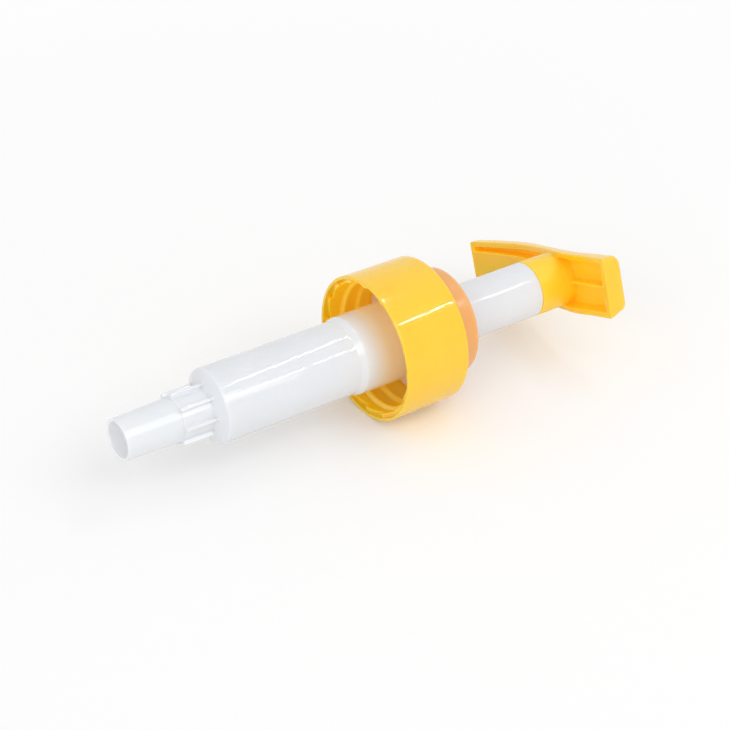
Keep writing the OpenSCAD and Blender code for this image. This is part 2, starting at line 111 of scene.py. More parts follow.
def add_mesh(name, points, faces):
    """An object from points in millimetres, shaded smooth, with its faces turned outwards."""
    points = np.asarray(points, float) * MM
    faces = np.asarray(faces)
    a, b, c = points[faces[:, 0]], points[faces[:, 1]], points[faces[:, 2]]
    signed = np.einsum("ij,ij->i", a, np.cross(b, c)).sum()
    if faces.shape[1] == 4:
        d = points[faces[:, 3]]
        signed += np.einsum("ij,ij->i", a, np.cross(c, d)).sum()
    if signed < 0:
        faces = faces[:, ::-1]
    mesh = bpy.data.meshes.new(name)
    mesh.from_pydata(points.tolist(), [], faces.tolist())
    mesh.shade_smooth()
    mesh.update()
    piece = bpy.data.objects.new(name, mesh)
    bpy.context.scene.collection.objects.link(piece)
    return piece


def stand_for(piece, node, body, material):
    """The piece takes the place of a CAD node, on that node's body."""
    piece.data.materials.append(material)
    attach(piece, body)
    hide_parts(node)


def rounded(corners, step):
    """A closed outline through (x, r, fillet) corners: fillets are arcs, and straights are split.

    A point close to each end of a straight keeps the shading of the flat faces flat."""
    near, segments = 0.12, 5
    corners = [np.array(c, float) for c in corners]
    arcs = []
    for i, corner in enumerate(corners):
        p, fillet = corner[:2], corner[2]
        to_last = corners[i - 1][:2] - p
        to_next = corners[(i + 1) % len(corners)][:2] - p
        u, v = to_last / np.linalg.norm(to_last), to_next / np.linalg.norm(to_next)
        half = 0.5 * math.acos(max(-1.0, min(1.0, float(u @ v))))
        if fillet <= 0 or abs(half - math.pi / 2) < 1e-4:
            arcs.append([p])
            continue
        reach = fillet / math.tan(half)
        limit = 0.48 * min(np.linalg.norm(to_last), np.linalg.norm(to_next))
        if reach > limit:
            reach, fillet = limit, limit * math.tan(half)
        centre = p + (u + v) / np.linalg.norm(u + v) * fillet / math.sin(half)
        start, end = p + u * reach - centre, p + v * reach - centre
        turn = math.atan2(start[0] * end[1] - start[1] * end[0], float(start @ end))
        arcs.append([
            centre + np.array([
                start[0] * math.cos(a) - start[1] * math.sin(a),
                start[0] * math.sin(a) + start[1] * math.cos(a),
            ])
            for a in np.linspace(0, turn, segments + 1)
        ])
    outline = []
    for i, arc in enumerate(arcs):
        outline += arc
        a, b = arc[-1], arcs[(i + 1) % len(arcs)][0]
        length = np.linalg.norm(b - a)
        if length < 3 * near:
            continue
        cuts = np.linspace(near, length - near, max(2, int(math.ceil(length / step)) + 1))
        outline += [a + (b - a) * c / length for c in cuts]
    return np.array(outline)


def ring_piece(name, angles, section):
    """A closed ring about the pump axis. section(angle) gives its closed outline as (x, r) points."""
    rings = np.array([section(a) for a in angles])
    x, r = rings[..., 0], rings[..., 1]
    turn = np.asarray(angles)[:, None]
    points = np.stack([x, -r * np.cos(turn), r * np.sin(turn)], -1)
    n, m = x.shape
    i, j = np.meshgrid(np.arange(n), np.arange(m), indexing="ij")
    i2, j2 = (i + 1) % n, (j + 1) % m
    faces = np.stack([i * m + j, i2 * m + j, i2 * m + j2, i * m + j2], -1).reshape(-1, 4)
    return add_mesh(name, points.reshape(-1, 3), faces)


def even_angles(count):
    """That many angles around a full turn."""
    return np.linspace(0, 2 * math.pi, count, endpoint=False)


def angles_with(places, offsets, count):
    """Even angles, with close ones about each of some places instead."""
    places, offsets = np.asarray(places), np.sort(np.asarray(offsets))
    even = even_angles(count)
    gap = np.abs((even[:, None] - places[None, :] + math.pi) % (2 * math.pi) - math.pi)
    even = even[(gap > offsets[-1] + 0.3 * 2 * math.pi / count).all(1)]
    close = (places[:, None] + offsets[None, :]).ravel() % (2 * math.pi)
    return np.unique(np.round(np.concatenate([even, close]), 7))


def smooth_step(t):
    """0 up to 0 and 1 from 1, with a soft rise between."""
    t = np.clip(t, 0, 1)
    return t * t * (3 - 2 * t)


def plain_ring(name, corners, step):
    """A ring with the same outline all around."""
    outline = rounded(corners, step)
    return ring_piece(name, even_angles(160), lambda angle: outline)


# ------------------------------------------------------------------ surfaces of signed distance fields


def round_max(a, b, r):
    """Intersection of two solids with its edge rounded."""
    return np.minimum(np.maximum(a, b), -r) + np.hypot(np.maximum(a + r, 0), np.maximum(b + r, 0))


def round_min(a, b, r):
    """Union of two solids with a fillet between them."""
    return -round_max(-a, -b, r)


def surface_of(field, lowest, highest, step):
    """Points and quads over the zero surface of a field, with one point in each crossed cell."""
    axes = [np.arange(lo, hi + step, step) for lo, hi in zip(lowest, highest)]
    grid = np.meshgrid(*axes, indexing="ij")
    value = field(*grid)
    cells = tuple(n - 1 for n in value.shape)
    total, count = np.zeros(cells + (3,)), np.zeros(cells)
    index = np.indices(value.shape)
    crossings = []
    for axis in range(3):
        head = [slice(None)] * 3
        tail = [slice(None)] * 3
        head[axis], tail[axis] = slice(None, -1), slice(1, None)
        v0, v1 = value[tuple(head)], value[tuple(tail)]
        crossed = (v0 < 0) != (v1 < 0)
        share = np.where(crossed, v0 / np.where(crossed, v0 - v1, 1), 0)
        place = np.stack([index[k][tuple(head)].astype(float) for k in range(3)], -1)
        place[..., axis] += share
        others = [k for k in range(3) if k != axis]
        for da in (0, 1):
            for db in (0, 1):
                part = [slice(None)] * 3
                part[others[0]] = slice(da, da + cells[others[0]])
                part[others[1]] = slice(db, db + cells[others[1]])
                part = tuple(part)
                total += np.where(crossed[part][..., None], place[part], 0)
                count += crossed[part]
        crossings.append((axis, others, crossed, v0 < 0))
    used = count > 0
    number = np.full(cells, -1)
    number[used] = np.arange(used.sum())
    points = total[used] / count[used][:, None] * step + np.array(lowest)
    faces = []
    for axis, (a, b), crossed, inside in crossings:
        at = np.argwhere(crossed)
        at = at[(at[:, a] > 0) & (at[:, a] < cells[a]) & (at[:, b] > 0) & (at[:, b] < cells[b])]
        quad = []
        for da, db in ((-1, -1), (0, -1), (0, 0), (-1, 0)):
            cell = at.copy()
            cell[:, a] += da
            cell[:, b] += db
            quad.append(number[tuple(cell.T)])
        quad = np.stack(quad, -1)
        flip = inside[tuple(at.T)] == (axis == 1)
        quad[flip] = quad[flip][:, ::-1]
        faces.append(quad)
    return points, np.concatenate(faces)


def settle(points, field, rounds=2):
    """Moves points onto the field's zero surface."""
    eps = 0.01
    for _ in range(rounds):
        x, y, z = points.T
        f = field(x, y, z)
        slope = np.stack([
            field(x + eps, y, z) - field(x - eps, y, z),
            field(x, y + eps, z) - field(x, y - eps, z),
            field(x, y, z + eps) - field(x, y, z - eps),
        ], -1) / (2 * eps)
        size = np.maximum((slope ** 2).sum(1), 0.2)
        points = points - np.clip(f / size, -0.3, 0.3)[:, None] * slope
    return points


def relax(points, faces):
    """Moves each point half way to the middle of its neighbours."""
    total, count = np.zeros_like(points), np.zeros(len(points))
    for k in range(4):
        a, b = faces[:, k], faces[:, (k + 1) % 4]
        for p, q in ((a, b), (b, a)):
            np.add.at(total, p, points[q])
            np.add.at(count, p, 1)
    return 0.5 * points + 0.5 * total / count[:, None]


# ------------------------------------------------------------------ materials


def new_material(name):
    """A material, its tree and its main shader."""
    material = bpy.data.materials.new(name)
    material.use_nodes = True
    tree = material.node_tree
    shader = tree.nodes["Principled BSDF"]
    return material, tree, shader


def node(tree, kind, **values):
    """A new node with some of its settings or inputs set; an input's spaces are written as underscores."""
    made = tree.nodes.new(kind)
    for key, value in values.items():
        if hasattr(made, key):
            setattr(made, key, value)
        else:
            made.inputs[key.replace("_", " ")].default_value = value
    return made


def noise(tree, scale, detail=2.0, roughness=0.5, stretch=(1, 1, 1)):
    """Noise in object space, in cycles per metre."""
    place = tree.nodes.new("ShaderNodeTexCoord")
    shift = tree.nodes.new("ShaderNodeMapping")
    shift.inputs["Scale"].default_value = stretch
    made = tree.nodes.new("ShaderNodeTexNoise")
    made.inputs["Scale"].default_value = scale
    made.inputs["Detail"].default_value = detail
    made.inputs["Roughness"].default_value = roughness
    tree.links.new(place.outputs["Object"], shift.inputs["Vector"])
    tree.links.new(shift.outputs["Vector"], made.inputs["Vector"])
    return made.outputs["Fac"]


def spread(tree, value, to_low, to_high, from_low=0.3, from_high=0.7):
    """Maps a value from one range to another, and holds it at both ends."""
    made = tree.nodes.new("ShaderNodeMapRange")
    made.inputs["From Min"].default_value = from_low
    made.inputs["From Max"].default_value = from_high
    made.inputs["To Min"].default_value = to_low
    made.inputs["To Max"].default_value = to_high
    tree.links.new(value, made.inputs["Value"])
    return made.outputs["Result"]


def blend_colour(tree, value, first, second):
    """Goes from the first colour to the second as a value goes from 0 to 1."""
    made = tree.nodes.new("ShaderNodeMix")
    made.data_type = "RGBA"
    made.inputs["A"].default_value = (*first, 1)
    made.inputs["B"].default_value = (*second, 1)
    tree.links.new(value, made.inputs["Factor"])
    return made.outputs["Result"]


def bump(tree, shader, layers):
    """Stacks bumps: (height output, depth in metres)."""
    last = None
    for height, depth in layers:
        made = tree.nodes.new("ShaderNodeBump")
        made.inputs["Strength"].default_value = 1.0
        made.inputs["Distance"].default_value = depth
        tree.links.new(height, made.inputs["Height"])
        if last:
            tree.links.new(last, made.inputs["Normal"])
        last = made.outputs["Normal"]
    tree.links.new(last, shader.inputs["Normal"])


def srgb(r, g, b):
    """Linear colour from a screen colour in 0 to 255."""
    return tuple(
        v / 12.92 if v <= 0.04045 else ((v + 0.055) / 1.055) ** 2.4
        for v in (r / 255, g / 255, b / 255)
    )


def moulded_plastic(name, colour, deeper, gloss, glow, glow_reach, wave=0.00001, peel=0.000003):
    """Injection-moulded plastic: a glow under the skin, slow waves, an orange-peel skin and faint smudges."""
    material, tree, shader = new_material(name)
    mottling = spread(tree, noise(tree, 60, 1), 0, 1)
    tree.links.new(blend_colour(tree, mottling, colour, deeper), shader.inputs["Base Color"])
    smudges = spread(tree, noise(tree, 140, 2, 0.5), gloss[0], gloss[1])
    tree.links.new(smudges, shader.inputs["Roughness"])
    shader.inputs["IOR"].default_value = 1.5
    shader.inputs["Specular IOR Level"].default_value = 0.75
    shader.inputs["Subsurface Weight"].default_value = glow
    shader.inputs["Subsurface Radius"].default_value = tuple(v * MM for v in glow_reach)
    shader.inputs["Subsurface Scale"].default_value = 1.0
    bump(tree, shader, [(noise(tree, 45, 0.5), wave), (noise(tree, 520, 1), peel)])
    return material


def with_inner_light(material, colour):
    """Paints in, as emission, a glow that stands in for the light that comes through thin walls, by each
    point's inner light, and a duller finish there.
    """
    tree = material.node_tree
    shader = tree.nodes["Principled BSDF"]
    share = node(tree, "ShaderNodeAttribute", attribute_name="inner_light").outputs["Fac"]
    tree.links.new(blend_colour(tree, share, (0, 0, 0), colour), shader.inputs["Emission Color"])
    shader.inputs["Emission Strength"].default_value = 1.0
    duller = node(tree, "ShaderNodeMath", operation="ADD")
    tree.links.new(shader.inputs["Roughness"].links[0].from_socket, duller.inputs[0])
    tree.links.new(spread(tree, share, 0, 0.4, 0, 1), duller.inputs[1])
    tree.links.new(duller.outputs[0], shader.inputs["Roughness"])
    return material


def with_painted_cap_shade(material, tint):
    """Paints in the shade under the cap: multiplies the colour by a peach tint, by each point's share, where
    the only light would have come through the coloured cap.
    """
    tree = material.node_tree
    shader = tree.nodes["Principled BSDF"]
    cap_shaded_colour = tree.nodes.new("ShaderNodeMix")
    cap_shaded_colour.data_type, cap_shaded_colour.blend_type = "RGBA", "MULTIPLY"
    share = node(tree, "ShaderNodeAttribute", attribute_name="painted_cap_shade").outputs["Fac"]
    tree.links.new(share, cap_shaded_colour.inputs["Factor"])
    tree.links.new(shader.inputs["Base Color"].links[0].from_socket, cap_shaded_colour.inputs["A"])
    cap_shaded_colour.inputs["B"].default_value = (*tint, 1)
    tree.links.new(cap_shaded_colour.outputs["Result"], shader.inputs["Base Color"])
    return material


def set_share(piece, name, share):
    """Gives each point its inner light or cap tint, 0 to 1, from a function of x, y and z in mm."""
    points = np.empty(len(piece.data.vertices) * 3)
    piece.data.vertices.foreach_get("co", points)
    values = share(*(points.reshape(-1, 3).T / MM))
    kept = piece.data.attributes.new(name, "FLOAT", "POINT")
    kept.data.foreach_set("value", np.clip(values, 0, 1).astype(np.float32))


def foam():
    """Closed-cell foam, with fine cells that show as tint and bump."""
    material, tree, shader = new_material("foam_seal")
    cells = tree.nodes.new("ShaderNodeTexVoronoi")
    cells.inputs["Scale"].default_value = 3500
    place = tree.nodes.new("ShaderNodeTexCoord")
    tree.links.new(place.outputs["Object"], cells.inputs["Vector"])
    tint = blend_colour(tree, cells.outputs["Distance"], srgb(246, 226, 205), srgb(232, 203, 176))
    tree.links.new(tint, shader.inputs["Base Color"])
    shader.inputs["Roughness"].default_value = 0.8
    shader.inputs["Subsurface Weight"].default_value = 0.2
    shader.inputs["Subsurface Radius"].default_value = (0.0012, 0.0009, 0.0006)
    bump(tree, shader, [(cells.outputs["Distance"], 0.00006)])
    return material


def steel(name, gloss, stretch):
    """Bare steel with fine streaks; the stretch sets which way they run."""
    material, tree, shader = new_material(name)
    shader.inputs["Base Color"].default_value = (*srgb(200, 200, 202), 1)
    shader.inputs["Metallic"].default_value = 1.0
    streaks = noise(tree, 400, 3, 0.6, stretch)
    tree.links.new(spread(tree, streaks, gloss, gloss + 0.15), shader.inputs["Roughness"])
    bump(tree, shader, [(streaks, 0.000004)])
    return material


YELLOW_LOOK = {
    "colour": srgb(255, 205, 32), "deeper": srgb(255, 201, 24), "gloss": (0.04, 0.07),
    "glow": 0.45, "glow_reach": (3.5, 1.4, 0.2), "peel": 0.000016,
}
# Both yellows get a painted orange glow, as emission: the head in its pockets and slots, the cap on its
# inside.
HEAD_YELLOW = with_inner_light(moulded_plastic("yellow_head", **YELLOW_LOOK), (0.10, 0.055, 0.0))
CAP_YELLOW = with_inner_light(moulded_plastic("yellow_cap", **YELLOW_LOOK), (0.2, 0.115, 0.0))
WHITE = moulded_plastic(
    "white_plastic", srgb(228, 231, 235), srgb(225, 228, 232), (0.025, 0.045), 0.4, (2.2, 2.0, 1.8),
    wave=0.000008, peel=0.00002)
# The white gets a painted glow in the dip tube socket and under the cap, and painted peach shade where the cap
# covers the barrel.
WHITE = with_painted_cap_shade(with_inner_light(WHITE, (0.14, 0.135, 0.125)), (1.0, 0.82, 0.52))
ORANGE = moulded_plastic(
    "orange_plastic", srgb(242, 178, 104), srgb(240, 173, 97), (0.14, 0.2), 0.4, (2.4, 1.0, 0.4))
NATURAL = moulded_plastic(
    "natural_plastic", srgb(232, 232, 226), srgb(226, 226, 218), (0.4, 0.55), 0.5, (3, 2.8, 2.4))
WIPER = moulded_plastic(
    "wiper_rubber", srgb(214, 214, 210), srgb(205, 205, 200), (0.5, 0.65), 0.1, (0.6, 0.6, 0.6),
    peel=0.000006)
FOAM = foam()
WIRE = steel("spring_steel", 0.25, (1, 8, 8))
BALL = steel("ball_steel", 0.08, (1, 1, 1))

# ------------------------------------------------------------------ housing


def rib_height(angle):
    """How far the ribs stand out of the neck at an angle, with rounded crests and feet."""
    pitch = 2 * math.pi / RIBS
    away = abs((angle - math.radians(5) + pitch / 2) % pitch - pitch / 2) * RIB_R
    return (RIB_R - NECK_R) * (1 - smooth_step((away - RIB_T / 2 + 0.14) / 0.26))


def housing_outline():
    """Corners from the socket's mouth along the outside to the top, and back through the bore."""
    top = high("housing")[0]
    return rounded([
        (SOCKET_END, SOCKET_R, 0.2),
        (NECK_STEP, SOCKET_ROOT_R, 0.1),
        (NECK_STEP, NECK_R, 0.15),
        (NECK_ROOT, NECK_R, 0.3),
        (FRONT_EDGE - 0.1, BARREL_R, 0.6),
        (-SHOULDER_L - SHOULDER_SLOPE, BARREL_R, 0.9),
        (-SHOULDER_L, SHOULDER_R, 0.9),
        (GASKET_T, SHOULDER_R, 0),
        (GASKET_T, FLANGE_R, 0.15),
        (GASKET_T + FLANGE_T, FLANGE_R, 0.15),
        (GASKET_T + FLANGE_T, SHOULDER_R, 0),
        (top, SHOULDER_R, 0.1),
        (top, BORE_R, 0.1),
        (BORE_FLOOR, BORE_R, 0.3),
        (BORE_FLOOR, CHAMBER_R, 0.1),
        (NECK_STEP + 3.1, CHAMBER_R, 0),
        (NECK_STEP + 1, INLET_R, 0),
        (NECK_STEP - 1, INLET_R, 0.1),
        (NECK_STEP - 1, SOCKET_BORE_R, 0.2),
        (SOCKET_END, SOCKET_BORE_R, 0.15),
    ], step=0.6)


def build_housing():
    outline = housing_outline()
    x, r = outline.T
    on_neck = (x > NECK_STEP - 0.05) & (x < FRONT_EDGE) & (r > NECK_R - 0.2) & (r < BARREL_R)
    crest_only = on_neck & (r < NECK_R + 0.02)
    tooth = RIB_T / 2 / RIB_R
    near = np.array([0.3, 0.6, 0.78, 0.9, 1.0, 1.1, 1.25, 1.5]) * tooth
    angles = angles_with(
        np.radians(5) + np.arange(RIBS) * 2 * math.pi / RIBS, np.concatenate([-near, [0], near]), 180)

    def section(angle):
        rib = rib_height(angle)
        ribbed = outline.copy()
        ribbed[crest_only, 1] += rib
        ribbed[on_neck, 1] = np.maximum(ribbed[on_neck, 1], np.where(x[on_neck] > NECK_ROOT, NECK_R + rib, 0))
        return ribbed

    def light(px, py, pz):
        """Where the painted glow goes: in the dip tube socket, and outside where the cap covers the barrel."""
        r = np.hypot(py, pz)
        in_socket = 0.7 * np.clip((SOCKET_BORE_R + 0.3 - r) / 0.25, 0, 1)
        under_cap = 0.45 * smooth_step((px + 19) / 4) * (r > SHOULDER_R - 0.5)
        return np.where(px < NECK_STEP, in_socket, under_cap)

    # Painted shade: the barrel turns peach under the cap, as if its only light came through the yellow cap.
    def tint(px, py, pz):
        return smooth_step((px + 20.5) / 7) * (np.hypot(py, pz) > SHOULDER_R - 0.5)

    piece = ring_piece("housing_shell", angles, section)
    set_share(piece, "inner_light", light)
    set_share(piece, "painted_cap_shade", tint)
    stand_for(piece, "housing", "housing", WHITE)


# ------------------------------------------------------------------ screw cap


def thread_height(x, angle):
    """How far the thread ridge stands in from the cap's wall."""
    along = (-math.pi / 2 - angle - THREAD_FROM) % (2 * math.pi) / (2 * math.pi)
    best = np.zeros_like(x)
    for turn in range(-1, int(THREAD_TURNS) + 2):
        turns = along + turn
        fade = smooth_step(turns / 0.12) * smooth_step((THREAD_TURNS - turns) / 0.12)
        away = np.abs(x - (CAP_RIM + THREAD_START + THREAD_PITCH * turns))
        if 0 < turns < THREAD_TURNS:
            best = np.maximum(best, THREAD_DEPTH * fade * (1 - smooth_step((away - 0.45) / 0.75)))
    return best


def ratchet_height(angle):
    """How deep the notches lie under the step inside the rim; they slope up clockwise, seen from the rim."""
    pitch = 2 * math.pi / RATCHET_TEETH
    along = (-math.pi / 2 - angle) % pitch / pitch
    steep = smooth_step(along / 0.02)
    return RATCHET_DEPTH * steep * np.clip(1 - along / 0.85, 0, 1)


def build_cap():
    hole_r = SHOULDER_R + RUN_GAP
    lip_r = CAP_R - LIP_W
    ledge = CAP_RIM + LEDGE_DEPTH
    roof = CAP_TOP - CAP_TOP_T
    outline = rounded([
        (CAP_RIM, CAP_R, 0.35),
        (CAP_TOP, CAP_BACK_R, 0.9),
        (CAP_TOP, hole_r, 0.15),
        (roof, hole_r, 0.1),
        (roof, THREAD_ROOT_R, 0.5),
        (ledge, THREAD_ROOT_R, 0.1),
        (ledge, lip_r - 0.1, 0.1),
        (CAP_RIM, lip_r, 0.25),
    ], step=0.22)
    x, r = outline.T
    wall = (np.abs(r - THREAD_ROOT_R) < 0.02) & (x > ledge + 0.12) & (x < roof)
    step_points = (x < ledge + 0.12) & (x > ledge - 0.12) & (r < lip_r - 0.02) & (r > THREAD_ROOT_R - 0.02)
    places = -math.pi / 2 - np.arange(RATCHET_TEETH) * 2 * math.pi / RATCHET_TEETH
    near = np.array([-0.03, -0.022, -0.014, -0.007, -0.001, 0.001, 0.006]) * 2 * math.pi / RATCHET_TEETH
    angles = angles_with(places, near, 320)

    def section(angle):
        shaped = outline.copy()
        notch = ratchet_height(angle)
        shaped[step_points, 0] += notch
        shaped[wall, 0] += notch * (1 - smooth_step((x[wall] - ledge) / 4))
        shaped[wall, 1] -= thread_height(shaped[wall, 0], angle)
        return shaped

    def light(px, py, pz):
        """Where the painted glow goes: on the inside, and more towards the top than towards the floor."""
        inside = np.clip((THREAD_ROOT_R + 0.8 - np.hypot(py, pz)) / 0.7, 0, 1)
        below_top = np.clip((CAP_TOP - 1.6 - px) / 1.0, 0, 1)
        return inside * below_top * (0.7 + 0.3 * pz / THREAD_ROOT_R)

    piece = ring_piece("cap_shell", angles, section)
    set_share(piece, "inner_light", light)
    stand_for(piece, "screw_cap", "cap", CAP_YELLOW)


# ------------------------------------------------------------------ collar, gasket and stem


def build_collar():
    x0, x1 = low("locking_collar")[0], high("locking_collar")[0]
    outer = high("locking_collar")[2]
    stem_hole_r = STEM_R + RUN_GAP
    sleeve_r = SHOULDER_R + SEAT_GAP
    pocket_in, pocket_out = sleeve_r + COLLAR_WALL, outer - COLLAR_WALL
    roof = x1 - COLLAR_ROOF
    outline = rounded([
        (x0, outer, 0.3),
        (x1, outer, 1.2),
        (x1, stem_hole_r, 0.4),
        (x1 - COLLAR_WALL, stem_hole_r, 0.05),
        (x1 - COLLAR_WALL, sleeve_r, 0),
        (x0, sleeve_r, 0.1),
        (x0, pocket_in, 0.2),
        (roof, pocket_in, 0.2),
        (roof, pocket_out, 0.2),
        (x0, pocket_out, 0.2),
    ], step=0.8)
    x, r = outline.T
    in_pocket = (r > pocket_in - 0.02) & (r < pocket_out + 0.02) & (x > x0 + 1) & (x < roof + 0.05)
    ribs = (np.arange(COLLAR_RIBS) + 0.5) * 2 * math.pi / COLLAR_RIBS
    half = 0.5 / (outer - 2)
    angles = angles_with(ribs, [-1.15 * half, -half, 0, half, 1.15 * half], 180)

    def section(angle):
        shaped = outline.copy()
        if np.abs((angle - ribs + math.pi) % (2 * math.pi) - math.pi).min() < 1.01 * half:
            shaped[in_pocket, 0] = x0 + 1
        return shaped

    piece = ring_piece("collar_shell", angles, section)
    stand_for(piece, "locking_collar", "housing", ORANGE)


def build_gasket():
    x0, x1 = low("neck_gasket")[0], high("neck_gasket")[0]
    inner = SHOULDER_R + SEAT_GAP
    piece = plain_ring("gasket_ring", [
        (x0, FLANGE_R, 0.2), (x1, FLANGE_R, 0.05), (x1, inner, 0.05), (x0, inner, 0.2)], step=0.8)
    stand_for(piece, "neck_gasket", "housing", FOAM)


def build_stem():
    foot, tip = low("stem")[0], high("stem")[0]
    seat_r, seat_top = 6.63, -3.15
    piece = plain_ring("stem_tube", [
        (foot, seat_r, 0.15),
        (seat_top, seat_r, 0.05),
        (seat_top, STEM_R, 0.4),
        (HEAD_X, STEM_R, 0.4),
        (HEAD_X, SPIGOT_R, 0.05),
        (tip, SPIGOT_R, 0.2),
        (tip, STEM_BORE_R, 0.1),
        (foot, STEM_BORE_R, 0.1),
    ], step=1.0)
    stand_for(piece, "stem", "plunger", WHITE)


# ------------------------------------------------------------------ press head
# The head's own frame: s along the handle wing, y across it, h up from the bottom of the hub.

TIP_LOW, TIP_NORMAL = 5.85, (-0.9645, -0.2643)
HUB_H, SPIGOT_H, CHAMBER_H = 14, 9.1, 13.3
SIDE_STAND, SIDE_LEAN, SIDE_FOOT = 0.8, math.radians(6), 9.85
SKIN, WING_WALL, END_WALL, TIP_WALL = 1.9, 1.65, 2, 1.1
WEB_T, WEB_LOW = 0.9, 10.65
DUCT_HALF_W, DUCT_MID_HALF_W, DUCT_TIP_HALF_W = 4.4, 4.55, 6.3
PASSAGE_R, PASSAGE_TOP, PASSAGE_RISE = 1.4, 13.9, 1.4
OUTLET_R, OUTLET_H = 1.7, 8.4
UNDERSIDE = [
    (-SPOUT_REACH, TIP_LOW), (-0.78 * SPOUT_REACH, 8.65), (-0.44 * SPOUT_REACH, 11.3),
    (-4, 11.05), (8, 9.45), (0.67 * WING_REACH, SIDE_FOOT), (WING_REACH, 10.1),
]
TOP = [
    (-SPOUT_REACH + 1.2, 11.7), (-0.78 * SPOUT_REACH, 14.1), (-0.44 * SPOUT_REACH, 16.45),
    (-4, 15.45), (8, 14.7), (0.67 * WING_REACH, 15.85), (WING_REACH - 1.8, 16.8),
]


def curve_through(knots):
    """A smooth curve through points, by Catmull and Rom, carried on straight past its ends."""
    steps = 12
    p = np.array(knots, float)
    p = np.concatenate([[p[0]], p, [p[-1]]])
    t = np.arange(steps)[:, None] / steps
    parts = [
        0.5 * (2 * b + (c - a) * t + (2 * a - 5 * b + 4 * c - d) * t ** 2 + (3 * b - a - 3 * c + d) * t ** 3)
        for a, b, c, d in zip(p[:-3], p[1:-2], p[2:-1], p[3:])
    ]
    line = np.concatenate(parts + [p[-1:]])
    first = line[0] + (line[0] - line[2]) * 30
    last = line[-1] + (line[-1] - line[-3]) * 30
    return np.concatenate([[first], line, [last]])


UNDERSIDE_LINE, TOP_LINE = curve_through(UNDERSIDE), curve_through(TOP)


def above(line, s, h):
    """Distance of a point above a curve, near enough for a gentle one."""
    slope = np.interp(s, 0.5 * (line[1:, 0] + line[:-1, 0]), np.diff(line[:, 1]) / np.diff(line[:, 0]))
    return (h - np.interp(s, line[:, 0], line[:, 1])) / np.sqrt(1 + slope ** 2)


def head_recess(s, y, h):
    """Signed distance of the handle wing's pockets and the slots beside the spout's duct."""
    side, hub = head_side(y, h), np.hypot(s, y) - STEM_R
    skin, wall = above(TOP_LINE, s, h) + SKIN, side + WING_WALL
    web = round_max(np.abs(y) - WEB_T / 2, WEB_LOW - h, 0.25)
    pocket = np.maximum(np.maximum(s - (WING_REACH - END_WALL), -s), skin)
    pocket = round_max(round_max(pocket, wall, 0.5), -web, 0.3)
    pocket = round_max(pocket, -hub, 0.3)

    slot_end = -SPOUT_REACH + TIP_WALL
    duct = np.interp(
        s, [slot_end, -0.37 * SPOUT_REACH, 0], [DUCT_TIP_HALF_W, DUCT_MID_HALF_W, DUCT_HALF_W])
    slot = np.maximum(np.maximum(s, slot_end - s), skin)
    slot = round_max(np.maximum(slot, wall), duct - np.abs(y), 0.15)
    slot = round_max(slot, -hub, 0.2)
    return pocket, slot


def head_side(y, h):
    """Distance outside the wings' sides, which lean in towards the top."""
    return (np.abs(y) - STEM_R - SIDE_STAND + (h - SIDE_FOOT) * math.tan(SIDE_LEAN)) * math.cos(SIDE_LEAN)


def spout_passage(s, y, h):
    """The arc that rises from the hub's chamber, and the straight outlet to the tip."""
    peak_s = -0.33 * SPOUT_REACH
    bend = (peak_s ** 2 + PASSAGE_RISE ** 2) / (2 * PASSAGE_RISE)
    end = math.asin(0.45 * SPOUT_REACH / bend)
    from_s, from_h = peak_s - bend * math.sin(end), PASSAGE_TOP + bend * (math.cos(end) - 1)
    arc = np.hypot(np.hypot(s - peak_s, h - PASSAGE_TOP + bend) - bend, y) - PASSAGE_R
    arc = np.maximum(np.maximum(arc, s), from_s - s)
    dip = math.atan2(from_h - OUTLET_H, from_s + SPOUT_REACH)
    across = -(s - from_s) * math.sin(dip) + (h - from_h) * math.cos(dip)
    outlet = np.maximum(np.hypot(across, y) - OUTLET_R, s - from_s)
    return np.minimum(arc, outlet)


def head_field(s, y, h):
    """Signed distance of the press head's surface."""
    top = above(TOP_LINE, s, h)
    under = -above(UNDERSIDE_LINE, s, h)
    tip = TIP_NORMAL[0] * (s + SPOUT_REACH) + TIP_NORMAL[1] * (h - TIP_LOW)
    corner = 0.7 + 1.9 * smooth_step(np.clip(-under / 5.5, 0, 1))
    body = round_max(head_side(y, h), np.maximum(s - WING_REACH, tip), corner)
    body = round_max(round_max(body, top, 2.2), under, 0.35)

    pocket, slot = head_recess(s, y, h)
    body = round_max(body, -pocket, 0.25)
    body = round_max(body, -slot, 0.2)
    hub = round_max(round_max(np.hypot(s, y) - STEM_R, h - HUB_H, 0.2), -h, 0.3)
    body = round_min(body, hub, 0.3)

    socket = np.maximum(np.hypot(s, y) - (SPIGOT_R + SEAT_GAP), h - SPIGOT_H)
    chamber = np.maximum(np.hypot(s, y) - STEM_BORE_R, h - CHAMBER_H)
    body = np.maximum(body, -np.minimum(socket, chamber))
    return round_max(body, -spout_passage(s, y, h), 0.15)


def build_head():
    points, faces = surface_of(
        head_field, (-SPOUT_REACH - 2, -10.5, -1), (WING_REACH + 1, 10.5, 18), step=0.25)
    points = settle(points, head_field)
    for _ in range(2):
        points = settle(relax(points, faces), head_field, rounds=1)
    s, y, h = points.T
    turn_c, turn_s = math.cos(HEAD_TURN), math.sin(HEAD_TURN)
    world = np.stack([HEAD_X + h, -s * turn_c - y * turn_s, s * turn_s - y * turn_c], -1)
    piece = add_mesh("head_shell", world, faces)
    # Painted glow in the handle wing's pockets and the slots beside the duct, fading out from their surfaces.
    within = np.abs(np.minimum(*head_recess(s, y, h)))
    set_share(piece, "inner_light", lambda px, py, pz: 1 - (within - 0.05) / 0.35)
    stand_for(piece, "pump_head", "plunger", HEAD_YELLOW)


# ------------------------------------------------------------------ return spring


